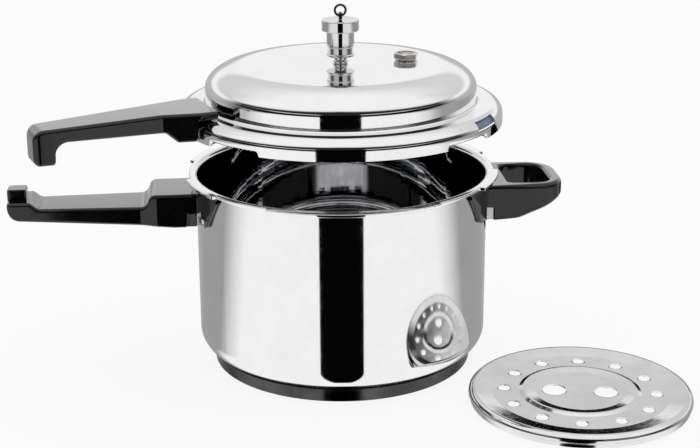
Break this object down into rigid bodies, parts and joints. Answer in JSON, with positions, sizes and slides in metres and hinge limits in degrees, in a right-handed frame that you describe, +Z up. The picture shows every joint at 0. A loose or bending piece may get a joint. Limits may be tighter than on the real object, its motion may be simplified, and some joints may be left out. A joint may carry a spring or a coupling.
{
  "type": "pressure cooker",
  "caption": "Stainless pressure cooker: pot with capsule base and side handles, bayonet lid with rubber seal, lift-off vent weight and safety valve, and a loose perforated grid.",
  "frame": {"origin": "middle of the base, on the surface that the pot stands on", "axes": "+Z up, the long handle towards -X, the helper handle towards +X, the front towards -Y"},
  "size_m": [0.4992, 0.3166, 0.2763],
  "materials": {
    "polished_steel": "mirror polished stainless steel",
    "satin_steel": "satin stainless steel",
    "valve_chrome": "turned and bright plated",
    "core_aluminium": "plain",
    "plug_brass": "satin",
    "bakelite": "moulded, glossy black",
    "seal_rubber": "smooth blue-grey",
    "washer_rubber": "matt black"
  },
  "bodies": {
    "pot": {"pot_body": "polished_steel", "base_core": "core_aluminium", "base_cap": "polished_steel", "pot_handle": "bakelite", "pot_handle_bracket": "satin_steel", "pot_handle_screw": "satin_steel", "helper_handle": "bakelite", "helper_bracket": "satin_steel", "helper_screw_rear": "satin_steel", "helper_screw_front": "satin_steel"},
    "gasket": {"gasket": "seal_rubber"},
    "lid": {"lid_shell": "polished_steel", "lid_handle": "bakelite", "lid_handle_bracket": "satin_steel", "lid_handle_screw": "satin_steel", "vent_tube": "valve_chrome", "vent_washer": "washer_rubber", "vent_nut": "satin_steel", "safety_valve_body": "valve_chrome", "fusible_plug": "plug_brass", "safety_washer": "washer_rubber", "safety_nut": "satin_steel"},
    "weight": {"weight_body": "valve_chrome", "weight_cap": "valve_chrome", "weight_pin": "satin_steel", "weight_eye": "satin_steel"},
    "ring": {"weight_ring": "satin_steel"},
    "grid": {"cooking_grid": "polished_steel"}
  },
  "joints": [
    {"name": "lid_lift", "type": "slide", "parent": "pot", "child": "gasket", "axis": [0, 0, 1], "range_m": [-0.0458, 0.04]},
    {"name": "lid_twist", "type": "hinge", "parent": "gasket", "child": "lid", "pos_m": [0, 0, 0.2039], "axis": [0, 0, -1], "range_deg": [0, 18.7]},
    {"name": "weight_lift", "type": "slide", "parent": "lid", "child": "weight", "axis": [0, 0, 1], "range_m": [0, 0.012]},
    {"name": "ring_swing", "type": "hinge", "parent": "weight", "child": "ring", "pos_m": [0, 0, 0.26745], "axis": [1, 0, 0], "range_deg": [-80, 80]},
    {"name": "grid_lift", "type": "slide", "parent": "pot", "child": "grid", "axis": [0, 0, 1], "range_m": [0, 0.06]}
  ]
}
